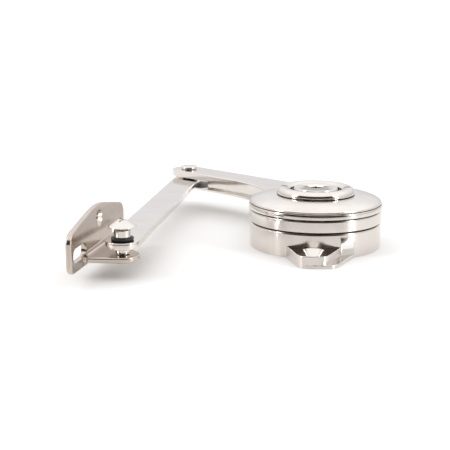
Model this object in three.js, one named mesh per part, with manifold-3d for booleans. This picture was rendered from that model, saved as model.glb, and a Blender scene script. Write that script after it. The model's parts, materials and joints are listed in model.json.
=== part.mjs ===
// Two-link door closer: a round damper drum, a tangential swing arm, a flat link bar
// and an L-shaped bracket on a mushroom-headed pivot stud.
// Millimetres, +Z up. The origin is the centre of the drum's flat underside.
// The drum's screw lugs point along -Y and +Y.

import * as THREE from 'three';
import { mergeVertices } from 'three/addons/utils/BufferGeometryUtils.js';
import Module from 'manifold-3d';

const wasm = await Module();
wasm.setup();

// ---------------------------------------------------------------- driving dimensions

const FIT = 0.3; // running clearance between neighbouring pieces

// The drum, from the floor up. Each layer ends at a thin dark groove.
const DRUM_RADIUS = 29.9;
const BASE_TOP = 11;
const LOWER_ARM_BOTTOM = 11.8;
const LOWER_ARM_TOP = 16.75;
const UPPER_ARM_BOTTOM = 17.4;
const UPPER_ARM_TOP = 19.6;
const COVER_BOTTOM = 19.9;
const UPPER_RADIUS = 30.5;
const DRUM_SEGMENTS = 60;

// Base housing.
const CAVITY_RADIUS = 26.6;
const FLOOR_THICKNESS = 2.2;
const LUG_HEIGHT = 5.2;
const LUG_REACH = 44.9;
const LUG_ROOT_HALF = 12;
const LUG_TIP_HALF = 5.6;
const SHELF_HEIGHT = 1.5;
const SCREW_Y = 37.2;
const SCREW_SLOT_WIDTH = 5.2;
const SCREW_SLOT_TRAVEL = 3;
const SCREW_HEAD_WIDTH = 11.2;

// Spindle and damper.
const SPINDLE_RADIUS = 4.2;
const SPINDLE_BOTTOM = 6.2;
const SPINDLE_TOP = 21.4;
const CUP_RADIUS = 13.5;
const CUP_WALL = 1.5;
const CUP_TOP = 10.6;
const STOP_RADIUS = 24;
const STOP_PIN_RADIUS = 1.5;
const STOP_AZIMUTH = 40;

// Swing arm. It leaves the drum at a tangent, so its centre line misses the drum's axis.
const ARM_AZIMUTH = 142;
const ARM_OFFSET = 21.9;
const ARM_REACH = 105.8;
const ARM_HALF_WIDTH = 8;
const ARM_SWING = 110;
const FORK_TOP = 16.3;
const FORK_BOTTOM = 12;
const FORK_PLATE_BOTTOM = 10.95;
const TIP_OVERHANG = 1.2; // how far the tip's round lies beyond the elbow
const NEAR_WEB_START = 19.5;
const FAR_WEB_START = 12;
const WEB_THICKNESS = 2;
const WEB_SET_BACK = 3;

// Rivets of the arm.
const CLAMP_CIRCLE_RADIUS = 16;
const CLAMP_RIVET_RADIUS = 1.5;
const CLAMP_HEAD_RADIUS = 2.6;
const ELBOW_RIVET_RADIUS = 2.2;
const ELBOW_HEAD_RADIUS = 4.4;
const ELBOW_BUSH_RADIUS = 3.3;

// Cover, ring and adjuster.
const COVER_RIM_RADIUS = 29.9;
const COVER_WALL = 1.5;
const SEAT_RADIUS = 17.9;
const RING_BORE = 11.7;
const RING_CREST = 26.7;
const ADJUSTER_TOP = 26.4;
const SOCKET_RADIUS = 2.9;
const SOCKET_DEPTH = 3.2;

// Link bar.
const LINK_LENGTH = 148;
const LINK_AZIMUTH = -92.4;
const LINK_HALF_WIDTH = 7;
const LINK_BOTTOM = 12.8;
const LINK_TOP = 15.6;

// Wall bracket, in its own frame: the pivot stud is at the origin and the upright plate
// stands on the -X side, parallel to Y.
const BRACKET_AZIMUTH = -5.9;
const BRACKET_THICKNESS = 2.4;
const TONGUE_BOTTOM = 7.4;
const TONGUE_TOP = TONGUE_BOTTOM + BRACKET_THICKNESS;
const TONGUE_TIP_RADIUS = 7;
const PLATE_FOOT = 5.6;
const PLATE_FACE = -13.5;
const PLATE_CENTRE = 11.2;
const PLATE_HALF_LENGTH = 33.7;
const PLATE_END_TOP = 21.6;
const PLATE_PEAK_TOP = 27.3;
const PLATE_SLOT_OFFSET = 23.7;
const PLATE_SLOT_LENGTH = 15.5;
const PLATE_SLOT_HEIGHT = 5.8;
const PLATE_SLOT_Z = 12.6;
const PLATE_HOLE_Z = 21.6;
const PLATE_HOLE_DIAMETER = 4.8;
const STUD_RADIUS = 2.1;
const STUD_TOP = 23.8;
const SLEEVE_RADIUS = 3.4;

const degrees = THREE.MathUtils.degToRad;

// ---------------------------------------------------------------- finishes

const nickel = () => new THREE.MeshStandardMaterial({ color: 0xd9d2c8, roughness: 0.16, metalness: 1 });
const satinNickel = () => new THREE.MeshStandardMaterial({ color: 0xcfc9c0, roughness: 0.3, metalness: 1 });
const springSteel = () => new THREE.MeshStandardMaterial({ color: 0x6f7073, roughness: 0.35, metalness: 1 });
const bronze = () => new THREE.MeshStandardMaterial({ color: 0xa9824f, roughness: 0.4, metalness: 1 });
const nylon = () => new THREE.MeshStandardMaterial({ color: 0x1b1a1c, roughness: 0.6, metalness: 0 });
const rubber = () => new THREE.MeshStandardMaterial({ color: 0x151515, roughness: 0.85, metalness: 0 });

// ---------------------------------------------------------------- solid helpers

// Merges a geometry's shared corners, drops slivers and turns its faces outwards.
function sealed(geometry) {
  const bare = geometry.clone();
  bare.deleteAttribute('normal');
  bare.deleteAttribute('uv');
  const merged = mergeVertices(bare, 1e-4);
  const place = merged.attributes.position;
  const corners = [];
  let volume = 0;
  const a = new THREE.Vector3();
  const b = new THREE.Vector3();
  const c = new THREE.Vector3();
  for (let i = 0; i < merged.index.count; i += 3) {
    const [p, q, r] = [0, 1, 2].map((k) => merged.index.getX(i + k));
    if (p === q || q === r || r === p) continue;
    corners.push(p, q, r);
    a.fromBufferAttribute(place, p);
    b.fromBufferAttribute(place, q);
    c.fromBufferAttribute(place, r);
    volume += a.dot(b.cross(c));
  }
  if (volume < 0) corners.reverse();
  merged.setIndex(corners);
  return merged;
}

function solid(geometry) {
  const shell = sealed(geometry);
  return new wasm.Manifold(new wasm.Mesh({
    numProp: 3,
    vertProperties: new Float32Array(shell.attributes.position.array),
    triVerts: new Uint32Array(shell.index.array),
  }));
}

function geometryOf(body) {
  const { vertProperties, triVerts, numProp } = body.getMesh();
  const places = new Float32Array((vertProperties.length / numProp) * 3);
  for (let i = 0; i < places.length / 3; i += 1) {
    for (let k = 0; k < 3; k += 1) places[3 * i + k] = vertProperties[numProp * i + k];
  }
  const geometry = new THREE.BufferGeometry();
  geometry.setAttribute('position', new THREE.BufferAttribute(places, 3));
  geometry.setIndex(new THREE.BufferAttribute(new Uint32Array(triVerts), 1));
  return geometry;
}

// A turned shape from [radius, height] corners listed once round its section.
function turned(section, segments = DRUM_SEGMENTS) {
  const points = section.map(([radius, height]) => new THREE.Vector2(radius, height));
  const touchesAxis = section[0][0] === 0 && section[section.length - 1][0] === 0;
  if (!touchesAxis) points.push(points[0].clone());
  return new THREE.LatheGeometry(points, segments).rotateX(Math.PI / 2);
}

// A pin or disc about a vertical axis at x, y.
function cylinder(radius, bottom, top, x = 0, y = 0, segments = 24) {
  const geometry = new THREE.CylinderGeometry(radius, radius, top - bottom, segments);
  return geometry.rotateX(Math.PI / 2).translate(x, y, (top + bottom) / 2);
}

// A plain tube about a vertical axis at x, y.
function tube(inner, outer, bottom, top, x = 0, y = 0, segments = 32) {
  const section = [[inner, bottom], [outer, bottom], [outer, top], [inner, top]];
  return turned(section, segments).translate(x, y, 0);
}

// A flat plate cut from an outline in plan.
function plate(shape, bottom, top, curveSegments = 12) {
  const settings = { depth: top - bottom, bevelEnabled: false, curveSegments };
  return new THREE.ExtrudeGeometry(shape, settings).translate(0, 0, bottom);
}

// A plate whose upper edge is rolled over by `inset` across and `drop` down.
function rolledPlate(shape, bottom, top, inset, drop, segments = 3) {
  const settings = {
    depth: top - bottom,
    bevelEnabled: true,
    bevelThickness: drop,
    bevelSize: inset,
    bevelOffset: -inset,
    bevelSegments: segments,
    curveSegments: 10,
  };
  const rolled = solid(new THREE.ExtrudeGeometry(shape, settings).translate(0, 0, bottom - drop));
  const below = new THREE.BoxGeometry(600, 600, 20).translate(0, 0, bottom - 10);
  return rolled.subtract(solid(below));
}

// The outline of a stadium slot along X or Y, centred at the origin.
function slotShape(width, travel, alongY = false) {
  const radius = width / 2;
  const shape = new THREE.Shape();
  if (alongY) {
    shape.absarc(0, travel / 2, radius, 0, Math.PI);
    shape.absarc(0, -travel / 2, radius, Math.PI, 2 * Math.PI);
  } else {
    shape.absarc(travel / 2, 0, radius, -Math.PI / 2, Math.PI / 2);
    shape.absarc(-travel / 2, 0, radius, Math.PI / 2, 1.5 * Math.PI);
  }
  shape.closePath();
  return shape;
}

// A closed outline with its corners rounded: corners are [x, y, radius].
function roundedOutline(corners) {
  const shape = new THREE.Shape();
  const count = corners.length;
  const at = (i) => new THREE.Vector2(...corners[(i + count) % count].slice(0, 2));
  corners.forEach(([x, y, radius], i) => {
    const corner = new THREE.Vector2(x, y);
    const back = at(i - 1).sub(corner).normalize().multiplyScalar(radius).add(corner);
    const ahead = at(i + 1).sub(corner).normalize().multiplyScalar(radius).add(corner);
    if (i === 0) shape.moveTo(back.x, back.y);
    else shape.lineTo(back.x, back.y);
    if (radius > 0) shape.quadraticCurveTo(x, y, ahead.x, ahead.y);
  });
  shape.closePath();
  return shape;
}

const assembly = new THREE.Group();

// Adds one named piece to a group of the assembly.
function add(group, name, geometry, material) {
  const mesh = new THREE.Mesh(geometry, material);
  mesh.name = name;
  group.add(mesh);
  return mesh;
}

// ---------------------------------------------------------------- base housing

// One screw lug, pointing along -Y, with its low locating shelf on the +X side.
function lug() {
  const root = -CAVITY_RADIUS + 3;
  const upper = roundedOutline([
    [-LUG_ROOT_HALF, root, 0],
    [LUG_ROOT_HALF, root, 0],
    [LUG_ROOT_HALF, -28, 1],
    [LUG_TIP_HALF, -LUG_REACH, 3],
    [-LUG_TIP_HALF, -LUG_REACH, 3],
    [-LUG_ROOT_HALF, -28, 1],
  ]);
  const shelf = roundedOutline([
    [-LUG_ROOT_HALF, root, 0],
    [LUG_ROOT_HALF + 6.5, root + 2, 0],
    [LUG_TIP_HALF + 4, -LUG_REACH + 0.4, 3.5],
    [-LUG_TIP_HALF + 0.6, -LUG_REACH - 0.9, 4],
    [-LUG_ROOT_HALF - 0.2, -27.5, 1],
  ]);
  return rolledPlate(upper, 0, LUG_HEIGHT, 0.5, 0.5, 2).add(solid(plate(shelf, 0, SHELF_HEIGHT)));
}

// The countersunk screw slot through a lug.
function lugScrewSlot() {
  const through = plate(slotShape(SCREW_SLOT_WIDTH, SCREW_SLOT_TRAVEL, true), -1, LUG_HEIGHT + 1);
  const depth = (SCREW_HEAD_WIDTH - SCREW_SLOT_WIDTH) / 2;
  const mouth = new THREE.ExtrudeGeometry(slotShape(SCREW_SLOT_WIDTH, SCREW_SLOT_TRAVEL, true), {
    depth: 0.01,
    bevelEnabled: true,
    bevelThickness: depth,
    bevelSize: depth,
    bevelSegments: 1,
    curveSegments: 12,
  });
  const flare = solid(mouth.translate(0, 0, LUG_HEIGHT));
  return solid(through).add(flare).translate(0, -SCREW_Y, 0);
}

function baseHousing() {
  const drum = solid(turned([
    [0, 0], [DRUM_RADIUS - 0.7, 0], [DRUM_RADIUS, 0.7], [DRUM_RADIUS, BASE_TOP - 0.3],
    [DRUM_RADIUS - 0.3, BASE_TOP], [0, BASE_TOP],
  ]));
  const lugs = lug().add(lug().rotate([0, 0, 180]));
  const cavity = solid(cylinder(CAVITY_RADIUS, FLOOR_THICKNESS, BASE_TOP + 1, 0, 0, 48));
  const ringSeat = solid(cylinder(CAVITY_RADIUS + 1.6, BASE_TOP - 0.8, BASE_TOP + 1, 0, 0, 48));
  const stopHole = solid(cylinder(STOP_PIN_RADIUS + FIT, 1, 4, ...polar(STOP_RADIUS, STOP_AZIMUTH)));
  let housing = drum.add(lugs).subtract(cavity).subtract(ringSeat).subtract(stopHole);
  housing = housing.subtract(lugScrewSlot()).subtract(lugScrewSlot().rotate([0, 0, 180]));
  return geometryOf(housing);
}

function polar(radius, azimuth) {
  return [radius * Math.cos(degrees(azimuth)), radius * Math.sin(degrees(azimuth))];
}

add(assembly, 'base_housing', baseHousing(), nickel());

// A nylon ring in the housing's rim that the swing arm turns on.
const glideTop = LOWER_ARM_BOTTOM - FIT;
add(assembly, 'glide_ring',
  tube(CAVITY_RADIUS + FIT, CAVITY_RADIUS + 1.3, BASE_TOP - 0.5, glideTop, 0, 0, 48), nylon());

const [stopX, stopY] = polar(STOP_RADIUS, STOP_AZIMUTH);
add(assembly, 'stop_pin', cylinder(STOP_PIN_RADIUS, 1.4, 13, stopX, stopY, 16), springSteel());

// ---------------------------------------------------------------- damper inside the drum

const cupFloor = FLOOR_THICKNESS + FIT;

add(assembly, 'damper_cup', turned([
  [0, cupFloor], [CUP_RADIUS, cupFloor], [CUP_RADIUS, CUP_TOP - 1.2], [CUP_RADIUS - CUP_WALL, CUP_TOP - 1.2],
  [CUP_RADIUS - CUP_WALL, cupFloor + 1], [0, cupFloor + 1],
], 40), satinNickel());

add(assembly, 'damper_lid', turned([
  [6.6, CUP_TOP - 2.2], [CUP_RADIUS - CUP_WALL - FIT, CUP_TOP - 2.2],
  [CUP_RADIUS - CUP_WALL - FIT, CUP_TOP - 0.9], [CUP_RADIUS, CUP_TOP - 0.9], [CUP_RADIUS, CUP_TOP],
  [6.6, CUP_TOP],
], 40), satinNickel());

add(assembly, 'spindle_bush',
  tube(SPINDLE_RADIUS + FIT, 6.3, CUP_TOP - 1, CUP_TOP + 0.4, 0, 0, 28), bronze());

// The closing spring lies round the damper cup.
function closingSpring() {
  const radius = 20;
  const wire = 1.35;
  const turns = 2.2;
  const steps = 44;
  const bottom = FLOOR_THICKNESS + wire + 0.4;
  const top = LOWER_ARM_BOTTOM - wire - 0.5;
  const points = [];
  for (let i = 0; i <= steps; i += 1) {
    const angle = (i / steps) * turns * 2 * Math.PI;
    points.push(new THREE.Vector3(
      radius * Math.cos(angle), radius * Math.sin(angle), bottom + ((top - bottom) * i) / steps,
    ));
  }
  const section = new THREE.Shape();
  section.absarc(0, 0, wire, 0, 2 * Math.PI);
  return sealed(new THREE.ExtrudeGeometry(section, {
    steps,
    bevelEnabled: false,
    curveSegments: 5,
    extrudePath: new THREE.CatmullRomCurve3(points),
  }));
}

add(assembly, 'closing_spring', closingSpring(), springSteel());

// ---------------------------------------------------------------- swing arm

// Plan of the arm in its own frame: +X runs from the drum's axis along the arm, and the
// centre line lies at Y = -ARM_OFFSET. The near side flares into the drum's rim.
function armOutline(halfWidth) {
  const tipX = ARM_REACH + TIP_OVERHANG;
  const nearSide = -ARM_OFFSET + halfWidth;
  const farSide = -ARM_OFFSET - halfWidth;
  const shape = new THREE.Shape();
  shape.moveTo(0, farSide);
  shape.lineTo(tipX, farSide);
  shape.absarc(tipX, -ARM_OFFSET, halfWidth, -Math.PI / 2, Math.PI / 2);
  shape.lineTo(66, nearSide);
  shape.quadraticCurveTo(44, nearSide, 27.6, nearSide + 15);
  shape.lineTo(0, nearSide + 15);
  shape.closePath();
  return shape;
}

const armFrame = (body) => body.rotate([0, 0, ARM_AZIMUTH]);
const [elbowX, elbowY] = [ARM_REACH, -ARM_OFFSET];

// An arc-shaped window in the lower arm that lets the stop pin by over the arm's swing.
function stopWindow() {
  const margin = (STOP_PIN_RADIUS + FIT) / STOP_RADIUS;
  const start = degrees(STOP_AZIMUTH - ARM_SWING) - margin;
  const end = degrees(STOP_AZIMUTH) + margin;
  const window = new THREE.Shape();
  window.absarc(0, 0, STOP_RADIUS + STOP_PIN_RADIUS + FIT, start, end, false);
  window.absarc(0, 0, STOP_RADIUS - STOP_PIN_RADIUS - FIT, end, start, true);
  window.closePath();
  return solid(plate(window, LOWER_ARM_BOTTOM - 1, LOWER_ARM_BOTTOM + 2.2, 24));
}

const clampAzimuths = [0, 120, 240];

// The lower arm is a shallow dish under the drum's middle band. Outside the drum it is
// the fork's thin bottom plate, with a web along each side that stops short of the elbow.
function lowerArm() {
  const dish = solid(turned([
    [SPINDLE_RADIUS + FIT, LOWER_ARM_BOTTOM], [DRUM_RADIUS - 0.1, LOWER_ARM_BOTTOM],
    [DRUM_RADIUS + 0.2, LOWER_ARM_BOTTOM + 0.3], [DRUM_RADIUS + 0.2, LOWER_ARM_TOP - 0.3],
    [DRUM_RADIUS - 0.1, LOWER_ARM_TOP], [DRUM_RADIUS - 2.4, LOWER_ARM_TOP],
    [DRUM_RADIUS - 2.4, LOWER_ARM_BOTTOM + 1.6], [SPINDLE_RADIUS + FIT, LOWER_ARM_BOTTOM + 1.6],
  ]));
  const clearOfDrum = solid(cylinder(DRUM_RADIUS - 1, 0, 40, 0, 0, DRUM_SEGMENTS));
  const clearOfBase = solid(cylinder(DRUM_RADIUS + 0.8, 0, LOWER_ARM_BOTTOM, 0, 0, DRUM_SEGMENTS));
  const outline = armOutline(ARM_HALF_WIDTH);
  const bottomPlate = solid(plate(outline, FORK_PLATE_BOTTOM, FORK_BOTTOM));
  const inner = armOutline(ARM_HALF_WIDTH - WEB_SET_BACK);
  const core = armOutline(ARM_HALF_WIDTH - WEB_SET_BACK - WEB_THICKNESS);
  const nearEnd = new THREE.BoxGeometry(60, 40, 20)
    .translate(ARM_REACH - NEAR_WEB_START + 30, -ARM_OFFSET + 20, 15);
  const farEnd = new THREE.BoxGeometry(60, 40, 20)
    .translate(ARM_REACH - FAR_WEB_START + 30, -ARM_OFFSET - 20, 15);
  const web = solid(plate(inner, FORK_BOTTOM - 0.5, FORK_TOP - FIT))
    .subtract(solid(plate(core, FORK_BOTTOM - 1, FORK_TOP + 1)))
    .subtract(solid(nearEnd))
    .subtract(solid(farEnd));
  const rivetHole = solid(cylinder(ELBOW_RIVET_RADIUS + FIT, 5, 20, elbowX, elbowY));
  const fork = armFrame(bottomPlate.add(web).subtract(rivetHole));
  const whole = dish.add(fork.subtract(clearOfDrum).subtract(clearOfBase)).subtract(stopWindow());
  return geometryOf(whole);
}

// The upper arm is a flat ring on top of the lower arm, drawn out into the fork's top
// plate, which has rolled edges.
function upperArm() {
  const ring = solid(turned([
    [SPINDLE_RADIUS + FIT, UPPER_ARM_BOTTOM], [UPPER_RADIUS - 0.3, UPPER_ARM_BOTTOM],
    [UPPER_RADIUS, UPPER_ARM_BOTTOM + 0.3], [UPPER_RADIUS, UPPER_ARM_TOP - 0.4],
    [UPPER_RADIUS - 0.4, UPPER_ARM_TOP], [SPINDLE_RADIUS + FIT, UPPER_ARM_TOP],
  ]));
  const top = rolledPlate(armOutline(ARM_HALF_WIDTH), FORK_TOP, UPPER_ARM_TOP, 2.4, 2.2);
  const clearOfDrum = solid(cylinder(UPPER_RADIUS - 0.5, 0, 40, 0, 0, DRUM_SEGMENTS));
  const clearOfLower = solid(cylinder(DRUM_RADIUS + 0.2 + FIT, 0, UPPER_ARM_BOTTOM, 0, 0, DRUM_SEGMENTS));
  const rivetHole = solid(cylinder(ELBOW_RIVET_RADIUS + FIT, 5, 30, elbowX, elbowY));
  const fork = armFrame(top.subtract(rivetHole)).subtract(clearOfDrum).subtract(clearOfLower);
  let whole = ring.add(fork);
  clampAzimuths.forEach((azimuth) => {
    const hole = cylinder(CLAMP_RIVET_RADIUS + FIT, 15, 25, ...polar(CLAMP_CIRCLE_RADIUS, azimuth));
    whole = whole.subtract(solid(hole));
  });
  return geometryOf(whole);
}

add(assembly, 'lower_arm', lowerArm(), nickel());
add(assembly, 'upper_arm', upperArm(), nickel());

// Rivets that clamp the two halves of the arm together under the cover.
clampAzimuths.forEach((azimuth, i) => {
  const [x, y] = polar(CLAMP_CIRCLE_RADIUS, azimuth);
  const foot = LOWER_ARM_BOTTOM + 1.9;
  const section = [
    [0, foot], [CLAMP_RIVET_RADIUS, foot], [CLAMP_RIVET_RADIUS, UPPER_ARM_TOP + FIT],
    [CLAMP_HEAD_RADIUS, UPPER_ARM_TOP + FIT], [CLAMP_HEAD_RADIUS - 0.4, UPPER_ARM_TOP + 1],
    [0, UPPER_ARM_TOP + 1.1],
  ];
  add(assembly, `clamp_rivet_${i + 1}`, turned(section, 16).translate(x, y, 0), satinNickel());
});

// The spindle carries the damper's rotor at its foot.
add(assembly, 'spindle', cylinder(SPINDLE_RADIUS, SPINDLE_BOTTOM, SPINDLE_TOP, 0, 0, 28), satinNickel());

// The damper's rotor: a hub with two vanes, on the spindle's foot.
function damperRotor() {
  const bottom = cupFloor + 1 + FIT;
  const top = CUP_TOP - 2.2 - FIT;
  const hub = solid(cylinder(6, bottom, top, 0, 0, 28));
  const vanes = solid(new THREE.BoxGeometry(22.6, 2.4, top - bottom).translate(0, 0, (top + bottom) / 2));
  const socket = solid(cylinder(SPINDLE_RADIUS + FIT, SPINDLE_BOTTOM - FIT, 12, 0, 0, 28));
  return geometryOf(hub.add(vanes).subtract(socket));
}

add(assembly, 'damper_rotor', damperRotor(), satinNickel());
add(assembly, 'spindle_seal',
  tube(SPINDLE_RADIUS + FIT, 6.2, CUP_TOP - 2.15, CUP_TOP - 1.3, 0, 0, 28), rubber());

// ---------------------------------------------------------------- cover, ring and adjuster

// The domed cover over the upper arm. Its outside is one shallow curve from rim to seat.
function coverSection() {
  const rim = COVER_RIM_RADIUS;
  const outside = [];
  const steps = 5;
  for (let i = 0; i <= steps; i += 1) {
    const t = i / steps;
    const radius = rim - 0.9 - (rim - 0.9 - SEAT_RADIUS) * t;
    outside.push([radius, COVER_BOTTOM + 1 + 2.6 * Math.sin((Math.PI / 2) * (0.25 * t + 0.75 * t ** 0.8))]);
  }
  const inside = outside.map(([radius, height]) => [radius - 0.4, height - COVER_WALL]).reverse();
  return [
    [rim - 1.8, COVER_BOTTOM], [rim, COVER_BOTTOM], [rim, COVER_BOTTOM + 0.35], ...outside,
    [12.6, COVER_BOTTOM + 3.6], [12.6, COVER_BOTTOM + 2.2], [9, COVER_BOTTOM + 2.2], [9, COVER_BOTTOM + 1.2],
    ...inside.slice(0, steps),
  ];
}

add(assembly, 'drum_cover', turned(coverSection()), nickel());

// The raised retaining ring, with two spanner notches.
function retainingRing() {
  const bottom = COVER_BOTTOM + 3.6 + FIT;
  const crest = RING_CREST;
  const section = [[RING_BORE, bottom], [SEAT_RADIUS - 0.1, bottom], [SEAT_RADIUS - 0.1, bottom + 0.9]];
  for (let i = 1; i <= 4; i += 1) {
    const angle = (i / 4) * (Math.PI / 2);
    section.push([15 + 2.6 * Math.cos(angle), bottom + 0.9 + (crest - bottom - 0.9) * Math.sin(angle)]);
  }
  section.push([RING_BORE + 1.5, crest - 0.15], [RING_BORE + 0.6, crest - 0.7], [RING_BORE, crest - 1.3]);
  let ring = solid(turned(section));
  [0, 180].forEach((azimuth) => {
    const notch = new THREE.BoxGeometry(2.6, 1.6, 2).translate(14.2, 0, crest + 0.1);
    ring = ring.subtract(solid(notch).rotate([0, 0, azimuth]));
  });
  return geometryOf(ring);
}

add(assembly, 'retaining_ring', retainingRing(), nickel());

// The tension adjuster: a disc with a hexagon socket, level with the ring.
function tensionAdjuster() {
  const top = ADJUSTER_TOP;
  const bottom = COVER_BOTTOM + 2.2 + FIT;
  const foot = SPINDLE_TOP + 0.4;
  const disc = solid(turned([
    [0, foot], [3.6, foot], [3.6, bottom], [10.1, bottom], [10.15, top - 0.5], [9.8, top - 0.1],
    [9.2, top], [0, top],
  ], 56));
  const hexagon = new THREE.CylinderGeometry(SOCKET_RADIUS, SOCKET_RADIUS, 2 * SOCKET_DEPTH, 6);
  const socket = solid(hexagon.rotateX(Math.PI / 2).translate(0, 0, top));
  return geometryOf(disc.subtract(socket));
}

add(assembly, 'tension_adjuster', tensionAdjuster(), nickel());

// ---------------------------------------------------------------- elbow

const elbow = new THREE.Group();
const [armX, armY] = [Math.cos(degrees(ARM_AZIMUTH)), Math.sin(degrees(ARM_AZIMUTH))];
elbow.position.set(ARM_REACH * armX + ARM_OFFSET * armY, ARM_REACH * armY - ARM_OFFSET * armX, 0);
assembly.add(elbow);

const rivetFoot = FORK_PLATE_BOTTOM - FIT;

add(elbow, 'elbow_rivet', turned([
  [0, rivetFoot - 0.9], [2.9, rivetFoot - 0.9], [3.2, rivetFoot], [ELBOW_RIVET_RADIUS, rivetFoot],
  [ELBOW_RIVET_RADIUS, UPPER_ARM_TOP + FIT], [ELBOW_HEAD_RADIUS, UPPER_ARM_TOP + FIT],
  [ELBOW_HEAD_RADIUS, UPPER_ARM_TOP + 1.2], [ELBOW_HEAD_RADIUS - 0.4, UPPER_ARM_TOP + 1.6],
  [0, UPPER_ARM_TOP + 1.7],
], 28), nickel());

add(elbow, 'elbow_bush',
  tube(ELBOW_RIVET_RADIUS + FIT, ELBOW_BUSH_RADIUS, FORK_BOTTOM + FIT, FORK_TOP - FIT, 0, 0, 24), nylon());

// ---------------------------------------------------------------- link bar

const link = new THREE.Group();
link.rotation.z = degrees(LINK_AZIMUTH);
elbow.add(link);

function linkBar() {
  const outline = new THREE.Shape();
  outline.absarc(LINK_LENGTH, 0, LINK_HALF_WIDTH, -Math.PI / 2, Math.PI / 2);
  outline.absarc(0, 0, LINK_HALF_WIDTH, Math.PI / 2, 1.5 * Math.PI);
  outline.closePath();
  const bar = rolledPlate(outline, LINK_BOTTOM, LINK_TOP, 0.3, 0.3, 2);
  const elbowHole = solid(cylinder(ELBOW_BUSH_RADIUS + FIT, 5, 25));
  const studHole = solid(cylinder(STUD_RADIUS + 0.4, 5, 25, LINK_LENGTH));
  return geometryOf(bar.subtract(elbowHole).subtract(studHole));
}

add(link, 'link_bar', linkBar(), nickel());

// ---------------------------------------------------------------- bracket and its stud

const bracket = new THREE.Group();
bracket.position.set(LINK_LENGTH, 0, 0);
bracket.rotation.z = degrees(BRACKET_AZIMUTH - LINK_AZIMUTH);
link.add(bracket);

// A slot through the upright plate, at a place along Y and a height.
function plateSlot(centreY, height, width, travel) {
  const cut = plate(slotShape(width, travel), -3, BRACKET_THICKNESS + 3);
  const upright = cut.rotateX(Math.PI / 2).rotateZ(Math.PI / 2);
  return solid(upright.translate(PLATE_FACE - BRACKET_THICKNESS, centreY, height));
}

function mountingBracket() {
  const outside = PLATE_FACE - BRACKET_THICKNESS;
  const upright = roundedOutline([
    [PLATE_CENTRE - PLATE_HALF_LENGTH, PLATE_FOOT, 3.5],
    [PLATE_CENTRE + PLATE_HALF_LENGTH, PLATE_FOOT, 3.5],
    [PLATE_CENTRE + PLATE_HALF_LENGTH, PLATE_END_TOP, 4],
    [PLATE_CENTRE + 5, PLATE_PEAK_TOP, 5],
    [PLATE_CENTRE - 5, PLATE_PEAK_TOP, 5],
    [PLATE_CENTRE - PLATE_HALF_LENGTH, PLATE_END_TOP, 4],
  ]);
  const uprightPlate = solid(plate(upright, 0, BRACKET_THICKNESS)
    .rotateX(Math.PI / 2).rotateZ(Math.PI / 2).translate(outside, 0, 0));
  const tongue = new THREE.Shape();
  tongue.moveTo(outside + 1, 24);
  tongue.lineTo(outside + 1, -9.2);
  tongue.absarc(0, 0, TONGUE_TIP_RADIUS, degrees(-80), degrees(48));
  tongue.lineTo(PLATE_FACE + 2, 23);
  tongue.closePath();
  const tonguePlate = solid(plate(tongue, TONGUE_BOTTOM, TONGUE_TOP));
  const bendSection = new THREE.Shape();
  bendSection.moveTo(PLATE_FACE - 0.5, TONGUE_TOP - 0.5);
  bendSection.lineTo(PLATE_FACE + 2, TONGUE_TOP - 0.5);
  bendSection.lineTo(PLATE_FACE + 2, TONGUE_TOP);
  bendSection.absarc(PLATE_FACE + 2, TONGUE_TOP + 2, 2, -Math.PI / 2, -Math.PI, true);
  bendSection.lineTo(PLATE_FACE - 0.5, TONGUE_TOP + 2);
  bendSection.closePath();
  const bend = solid(plate(bendSection, 0, 31.5, 6).rotateX(Math.PI / 2).translate(0, 23, 0));
  const studHole = solid(cylinder(STUD_RADIUS + FIT, 5, 15));
  let whole = uprightPlate.add(tonguePlate).add(bend).subtract(studHole);
  [-1, 1].forEach((side) => {
    const travel = PLATE_SLOT_LENGTH - PLATE_SLOT_HEIGHT;
    whole = whole.subtract(
      plateSlot(PLATE_CENTRE + side * PLATE_SLOT_OFFSET, PLATE_SLOT_Z, PLATE_SLOT_HEIGHT, travel),
    );
  });
  whole = whole.subtract(plateSlot(PLATE_CENTRE, PLATE_HOLE_Z, PLATE_HOLE_DIAMETER, 0.01));
  const flare = new THREE.CylinderGeometry(4.4, 1.9, 2.5, 28).rotateZ(-Math.PI / 2);
  whole = whole.subtract(solid(flare.translate(PLATE_FACE - 0.2, PLATE_CENTRE, PLATE_HOLE_Z)));
  return geometryOf(whole);
}

add(bracket, 'mounting_bracket', mountingBracket(), nickel());

// The stud is one turned piece: a riveted foot, a slim core and a mushroom head.
add(bracket, 'pivot_stud', turned([
  [0, TONGUE_BOTTOM - FIT - 0.8], [3.2, TONGUE_BOTTOM - FIT - 0.8], [3.5, TONGUE_BOTTOM - FIT],
  [STUD_RADIUS, TONGUE_BOTTOM - FIT], [STUD_RADIUS, STUD_TOP - 3.7], [3, STUD_TOP - 3.7],
  [5.7, STUD_TOP - 2.9], [5.85, STUD_TOP - 2.5], [5.1, STUD_TOP - 1.9], [3.2, STUD_TOP - 0.8],
  [2.2, STUD_TOP - 0.1], [1.9, STUD_TOP], [0, STUD_TOP],
], 32), nickel());

add(bracket, 'lower_spacer',
  tube(STUD_RADIUS + FIT, 2.9, TONGUE_TOP + FIT, LINK_BOTTOM - FIT, 0, 0, 24), nickel());
add(bracket, 'nylon_washer',
  tube(STUD_RADIUS + FIT, 4.6, LINK_TOP + FIT, LINK_TOP + 1.1, 0, 0, 28), nylon());
add(bracket, 'upper_sleeve',
  tube(STUD_RADIUS + FIT, SLEEVE_RADIUS, LINK_TOP + 1.4, STUD_TOP - 4, 0, 0, 28), nickel());

export default assembly;
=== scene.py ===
import json
import math

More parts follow.
